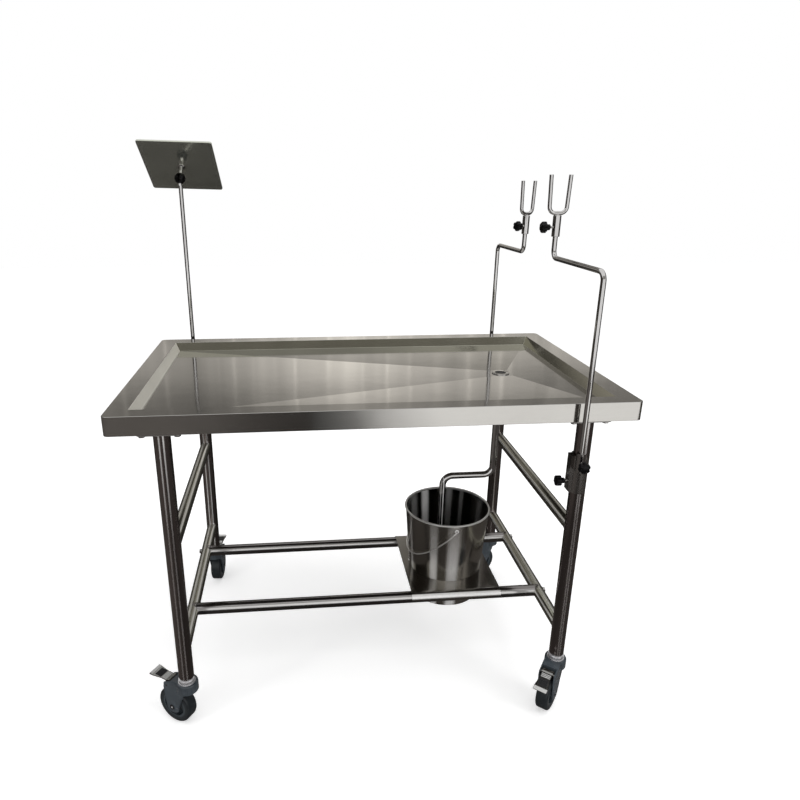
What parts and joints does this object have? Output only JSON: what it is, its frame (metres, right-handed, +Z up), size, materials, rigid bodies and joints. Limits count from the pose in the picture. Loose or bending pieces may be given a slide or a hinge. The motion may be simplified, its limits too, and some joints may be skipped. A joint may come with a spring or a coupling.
{
  "type": "autopsy table",
  "caption": "Stainless steel autopsy table on braked casters: dished tray that drains through a pipe into a bucket, limb forks on cranked rods and a tilting board on a clamped rod.",
  "frame": {"origin": "on the floor under the middle of the whole set's bounding box", "axes": "+Z up, +X along the table towards the drain end, -Y towards the side that the picture is taken from"},
  "size_m": [1.2164, 0.9062, 1.4425],
  "materials": {
    "table_sheet": "satin",
    "frame_tube": "polished",
    "bucket_steel": "polished",
    "bright_steel": "polished",
    "clamp_steel": "polished",
    "board_steel": "mirror polished",
    "black_plastic": "gloss",
    "fork_grey": "satin",
    "tyre_grey": "matt",
    "hub_grey": "matt",
    "pedal_steel": "bright"
  },
  "bodies": {
    "table": {"table_top": "table_sheet", "cross_channels": "table_sheet", "leg_plates": "table_sheet", "plate_bolts": "bright_steel", "leg_front_left": "frame_tube", "leg_front_right": "frame_tube", "leg_rear_left": "frame_tube", "leg_rear_right": "frame_tube", "upper_rail_left": "frame_tube", "upper_rail_right": "frame_tube", "lower_rail_left": "frame_tube", "lower_rail_right": "frame_tube", "long_rails": "frame_tube", "rail_bolts": "bright_steel", "bucket_shelf": "table_sheet", "drain_body": "bright_steel", "drain_locknut": "bright_steel", "drain_pipe": "bright_steel", "caster_stems": "bright_steel"},
    "caster_front_left": {"caster_fork_front_left": "fork_grey", "caster_axle_front_left": "bright_steel"},
    "wheel_front_left": {"caster_tyre_front_left": "tyre_grey", "caster_hub_front_left": "hub_grey"},
    "pedal_front_left": {"brake_pedal_front_left": "pedal_steel"},
    "caster_front_right": {"caster_fork_front_right": "fork_grey", "caster_axle_front_right": "bright_steel"},
    "wheel_front_right": {"caster_tyre_front_right": "tyre_grey", "caster_hub_front_right": "hub_grey"},
    "pedal_front_right": {"brake_pedal_front_right": "pedal_steel"},
    "caster_rear_left": {"caster_fork_rear_left": "fork_grey", "caster_axle_rear_left": "bright_steel"},
    "wheel_rear_left": {"caster_tyre_rear_left": "tyre_grey", "caster_hub_rear_left": "hub_grey"},
    "pedal_rear_left": {"brake_pedal_rear_left": "pedal_steel"},
    "caster_rear_right": {"caster_fork_rear_right": "fork_grey", "caster_axle_rear_right": "bright_steel"},
    "wheel_rear_right": {"caster_tyre_rear_right": "tyre_grey", "caster_hub_rear_right": "hub_grey"},
    "pedal_rear_right": {"brake_pedal_rear_right": "pedal_steel"},
    "clamp_front_right": {"clamp_saddle_front_right": "clamp_steel"},
    "saddle_knob_front_right": {"saddle_knob_front_right": "black_plastic"},
    "rod_knob_front_right": {"rod_knob_front_right": "black_plastic"},
    "rod_front_right": {"cranked_rod_front_right": "bright_steel"},
    "clamp_rear_right": {"clamp_saddle_rear_right": "clamp_steel"},
    "saddle_knob_rear_right": {"saddle_knob_rear_right": "black_plastic"},
    "rod_knob_rear_right": {"rod_knob_rear_right": "black_plastic"},
    "rod_rear_right": {"cranked_rod_rear_right": "bright_steel"},
    "clamp_rear_left": {"clamp_saddle_rear_left": "clamp_steel"},
    "saddle_knob_rear_left": {"saddle_knob_rear_left": "black_plastic"},
    "rod_knob_rear_left": {"rod_knob_rear_left": "black_plastic"},
    "rod_rear_left": {"board_rod": "bright_steel"},
    "fork_front_right": {"limb_fork_front_right": "bright_steel"},
    "fork_knob_front_right": {"fork_knob_front_right": "black_plastic"},
    "fork_rear_right": {"limb_fork_rear_right": "bright_steel"},
    "fork_knob_rear_right": {"fork_knob_rear_right": "black_plastic"},
    "ball": {"ball_joint": "black_plastic"},
    "board": {"instrument_board": "board_steel"},
    "bucket": {"bucket": "bucket_steel"},
    "bail": {"bail": "bright_steel"},
    "strainer": {"drain_strainer": "bright_steel"}
  },
  "joints": [
    {"name": "swivel_front_left", "type": "hinge", "parent": "table", "child": "caster_front_left", "pos_m": [-0.4768, -0.34978, 0.129], "axis": [0, 0, 1], "continuous": true},
    {"name": "wheel_spin_front_left", "type": "hinge", "parent": "caster_front_left", "child": "wheel_front_left", "pos_m": [-0.50866, -0.32908, 0.05], "axis": [-0.5446, -0.8387, 0], "continuous": true},
    {"name": "brake_front_left", "type": "hinge", "parent": "caster_front_left", "child": "pedal_front_left", "pos_m": [-0.52041, -0.32146, 0.114], "axis": [-0.5446, -0.8387, 0], "range_deg": [0, 22]},
    {"name": "swivel_front_right", "type": "hinge", "parent": "table", "child": "caster_front_right", "pos_m": [0.49321, -0.34978, 0.129], "axis": [0, 0, 1], "continuous": true},
    {"name": "wheel_spin_front_right", "type": "hinge", "parent": "caster_front_right", "child": "wheel_front_right", "pos_m": [0.46827, -0.37846, 0.05], "axis": [0.7547, -0.6561, 0], "continuous": true},
    {"name": "brake_front_right", "type": "hinge", "parent": "caster_front_right", "child": "pedal_front_right", "pos_m": [0.45909, -0.38903, 0.114], "axis": [0.7547, -0.6561, 0], "range_deg": [-22, 0]},
    {"name": "swivel_rear_left", "type": "hinge", "parent": "table", "child": "caster_rear_left", "pos_m": [-0.4768, 0.27022, 0.129], "axis": [0, 0, 1], "continuous": true},
    {"name": "wheel_spin_rear_left", "type": "hinge", "parent": "caster_rear_left", "child": "wheel_rear_left", "pos_m": [-0.47282, 0.30801, 0.05], "axis": [-0.9945, 0.1045, 0], "continuous": true},
    {"name": "brake_rear_left", "type": "hinge", "parent": "caster_rear_left", "child": "pedal_rear_left", "pos_m": [-0.47136, 0.32193, 0.114], "axis": [-0.9945, 0.1045, 0], "range_deg": [0, 22]},
    {"name": "swivel_rear_right", "type": "hinge", "parent": "table", "child": "caster_rear_right", "pos_m": [0.49321, 0.27022, 0.129], "axis": [0, 0, 1], "continuous": true},
    {"name": "wheel_spin_rear_right", "type": "hinge", "parent": "caster_rear_right", "child": "wheel_rear_right", "pos_m": [0.4575, 0.25722, 0.05], "axis": [0.342, -0.9397, 0], "continuous": true},
    {"name": "brake_rear_right", "type": "hinge", "parent": "caster_rear_right", "child": "pedal_rear_right", "pos_m": [0.44434, 0.25243, 0.114], "axis": [0.342, -0.9397, 0], "range_deg": [0, 22]},
    {"name": "clamp_slide_front_right", "type": "slide", "parent": "table", "child": "clamp_front_right", "axis": [0, 0, 1], "range_m": [-0.08, 0.055]},
    {"name": "saddle_knob_turn_front_right", "type": "hinge", "parent": "clamp_front_right", "child": "saddle_knob_front_right", "pos_m": [0.47391, -0.34928, 0.655], "axis": [-0.9997, 0.0262, 0], "range_deg": [0, 360]},
    {"name": "rod_knob_turn_front_right", "type": "hinge", "parent": "clamp_front_right", "child": "rod_knob_front_right", "pos_m": [0.46197, -0.41243, 0.731], "axis": [-0.1478, -0.989, 0], "range_deg": [0, 360]},
    {"name": "rod_turn_front_right", "type": "hinge", "parent": "clamp_front_right", "child": "rod_front_right", "pos_m": [0.46197, -0.41243, 0.731], "axis": [0, 0, 1], "continuous": true},
    {"name": "clamp_slide_rear_right", "type": "slide", "parent": "table", "child": "clamp_rear_right", "axis": [0, 0, 1], "range_m": [-0.08, 0.055]},
    {"name": "saddle_knob_turn_rear_right", "type": "hinge", "parent": "clamp_rear_right", "child": "saddle_knob_rear_right", "pos_m": [0.47393, 0.27123, 0.655], "axis": [-0.9986, 0.0523, 0], "range_deg": [0, 360]},
    {"name": "rod_knob_turn_rear_right", "type": "hinge", "parent": "clamp_rear_right", "child": "rod_knob_rear_right", "pos_m": [0.46698, 0.33512, 0.731], "axis": [-0.0698, 0.9976, 0], "range_deg": [0, 360]},
    {"name": "rod_turn_rear_right", "type": "hinge", "parent": "clamp_rear_right", "child": "rod_rear_right", "pos_m": [0.46698, 0.33512, 0.731], "axis": [0, 0, 1], "continuous": true},
    {"name": "clamp_slide_rear_left", "type": "slide", "parent": "table", "child": "clamp_rear_left", "axis": [0, 0, 1], "range_m": [-0.08, 0.055]},
    {"name": "saddle_knob_turn_rear_left", "type": "hinge", "parent": "clamp_rear_left", "child": "saddle_knob_rear_left", "pos_m": [-0.49605, 0.27157, 0.655], "axis": [-0.9976, 0.0698, 0], "range_deg": [0, 360]},
    {"name": "rod_knob_turn_rear_left", "type": "hinge", "parent": "clamp_rear_left", "child": "rod_knob_rear_left", "pos_m": [-0.50188, 0.33557, 0.731], "axis": [-0.0523, 0.9986, 0], "range_deg": [0, 360]},
    {"name": "rod_turn_rear_left", "type": "hinge", "parent": "clamp_rear_left", "child": "rod_rear_left", "pos_m": [-0.50188, 0.33557, 0.731], "axis": [0, 0, 1], "continuous": true},
    {"name": "fork_turn_front_right", "type": "hinge", "parent": "rod_front_right", "child": "fork_front_right", "pos_m": [0.45729, -0.14447, 1.26], "axis": [0, 0, 1], "continuous": true},
    {"name": "fork_knob_turn_front_right", "type": "hinge", "parent": "fork_front_right", "child": "fork_knob_front_right", "pos_m": [0.45129, -0.14447, 1.232], "axis": [-1, 0, 0], "range_deg": [0, 360]},
    {"name": "fork_turn_rear_right", "type": "hinge", "parent": "rod_rear_right", "child": "fork_rear_right", "pos_m": [0.47553, 0.12229, 1.246], "axis": [0, 0, 1], "continuous": true},
    {"name": "fork_knob_turn_rear_right", "type": "hinge", "parent": "fork_rear_right", "child": "fork_knob_rear_right", "pos_m": [0.47023, 0.11948, 1.218], "axis": [-0.8829, -0.4695, 0], "range_deg": [0, 360]},
    {"name": "board_tilt", "type": "hinge", "parent": "rod_rear_left", "child": "ball", "pos_m": [-0.50188, 0.33557, 1.34], "axis": [0.996, -0.0889, 0], "range_deg": [-38, 112]},
    {"name": "board_spin", "type": "hinge", "parent": "ball", "child": "board", "pos_m": [-0.50135, 0.34156, 1.34799], "axis": [0.0535, 0.5994, 0.7986], "continuous": true},
    {"name": "bucket_lift", "type": "slide", "parent": "table", "child": "bucket", "axis": [0, 0, 1], "range_m": [0, 0.08]},
    {"name": "bail_swing", "type": "hinge", "parent": "bucket", "child": "bail", "pos_m": [0.25321, -0.03978, 0.416], "axis": [0, 1, 0], "range_deg": [0, 160]},
    {"name": "strainer_lift", "type": "slide", "parent": "table", "child": "strainer", "axis": [0, 0, 1], "range_m": [0, 0.06]}
  ]
}
